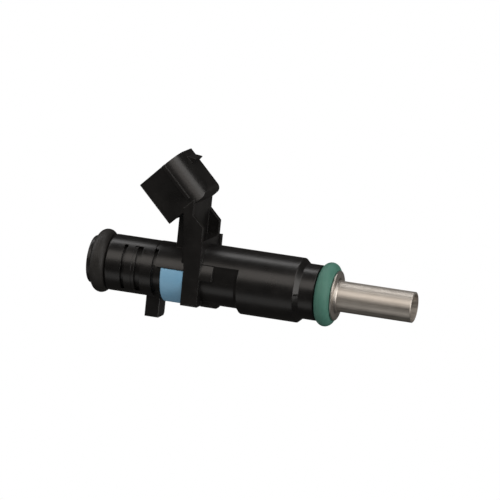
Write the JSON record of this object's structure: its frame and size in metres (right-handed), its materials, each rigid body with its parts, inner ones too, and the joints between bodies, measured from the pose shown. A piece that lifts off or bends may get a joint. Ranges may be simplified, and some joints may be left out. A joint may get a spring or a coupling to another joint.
{
  "type": "fuel injector",
  "caption": "Port fuel injector: ribbed moulded body, angled two-blade connector, seals at rail and manifold ends, steel nozzle tube, and a spring-closed ball valve that lifts inside.",
  "frame": {"origin": "on the injector's axis at the middle of the manifold (green) seal", "axes": "+X along the axis to the nozzle tip, +Z to the connector side, +Y to the injector's left seen from the inlet with the connector up"},
  "size_m": [0.0762, 0.0148, 0.0387],
  "materials": {
    "black_moulding": "satin glass-filled nylon, moulded",
    "black_moulding_fine": "satin nylon ring",
    "blue_moulding": "light blue moulded plastic, satin",
    "black_seal": "matte black nitrile rubber",
    "green_seal": "matte green fluoroelastomer",
    "turned_steel": "fine turned stainless steel",
    "nozzle_steel": "drawn stainless tube with fine lengthwise lines",
    "tube_steel": "drawn stainless tube",
    "can_steel": "plain pressed steel",
    "polished_steel": "ground and polished steel",
    "spring_wire": "bright spring wire",
    "brass": "plain brass",
    "filter_plastic": "natural nylon",
    "filter_gauze": "fine woven nylon gauze",
    "bobbin_plastic": "black nylon bobbin",
    "copper_winding": "enamelled copper wire",
    "tinned_blade": "tin-plated brass blade"
  },
  "bodies": {
    "injector": {"overmold_body": "black_moulding", "colour_ring": "blue_moulding", "inlet_oring": "black_seal", "nose_oring": "green_seal", "inlet_retainer_ring": "black_moulding_fine", "nose_flange_ring": "turned_steel", "inlet_tube": "tube_steel", "nonmagnetic_ring": "tube_steel", "valve_body": "nozzle_steel", "filter_collar": "brass", "filter_frame": "filter_plastic", "filter_mesh": "filter_gauze", "adjusting_tube": "tube_steel", "pole_piece": "turned_steel", "return_spring": "spring_wire", "coil_bobbin": "bobbin_plastic", "coil_winding": "copper_winding", "coil_housing": "can_steel", "flux_washer": "can_steel", "needle_guide": "turned_steel", "valve_seat": "turned_steel", "orifice_plate": "polished_steel", "terminal_left": "tinned_blade", "terminal_right": "tinned_blade"},
    "needle": {"armature": "turned_steel", "needle_tube": "tube_steel", "valve_ball": "polished_steel"}
  },
  "joints": [
    {"name": "needle_lift", "type": "slide", "parent": "injector", "child": "needle", "axis": [-1, 0, 0], "range_m": [0, 0.0001], "stiffness_N_per_m": 3000, "springref_m": -0.001, "deforming": ["return_spring"]}
  ]
}
